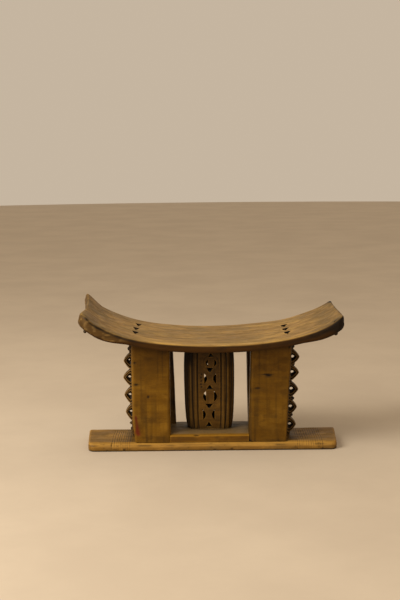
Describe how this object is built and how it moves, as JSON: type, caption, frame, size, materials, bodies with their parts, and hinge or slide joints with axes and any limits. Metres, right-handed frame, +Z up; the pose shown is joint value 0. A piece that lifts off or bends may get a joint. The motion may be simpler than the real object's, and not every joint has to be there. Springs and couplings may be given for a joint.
{
  "type": "carved wooden stool",
  "caption": "Carved wooden stool with a crescent seat on corner posts, a pierced hollow column, openwork lattices at the ends, a plinth and a long base board.",
  "frame": {"origin": "on the ground under the middle of the seat", "axes": "+X to the right along the seat, +Y to the back, +Z up; the front faces -Y"},
  "size_m": [0.536, 0.24, 0.2967],
  "materials": {
    "seat_wood": "worn, dry, satin on the front rim",
    "base_wood": "worn, satin",
    "plinth_wood": "worn, satin",
    "post_wood": "hand-polished, satin",
    "column_wood": "hand-polished, satin, dark in the cuts",
    "lattice_wood": "knife-cut facets, dark in the cuts",
    "lug_wood": "dark, matte"
  },
  "bodies": {
    "root": {"seat": "seat_wood", "base_board": "base_wood", "plinth": "plinth_wood", "front_left_post": "post_wood", "front_right_post": "post_wood", "rear_left_post": "post_wood", "rear_right_post": "post_wood", "central_column": "column_wood", "left_lattice": "lattice_wood", "right_lattice": "lattice_wood", "left_end_lug": "lug_wood", "right_end_lug": "lug_wood"}
  },
  "joints": []
}
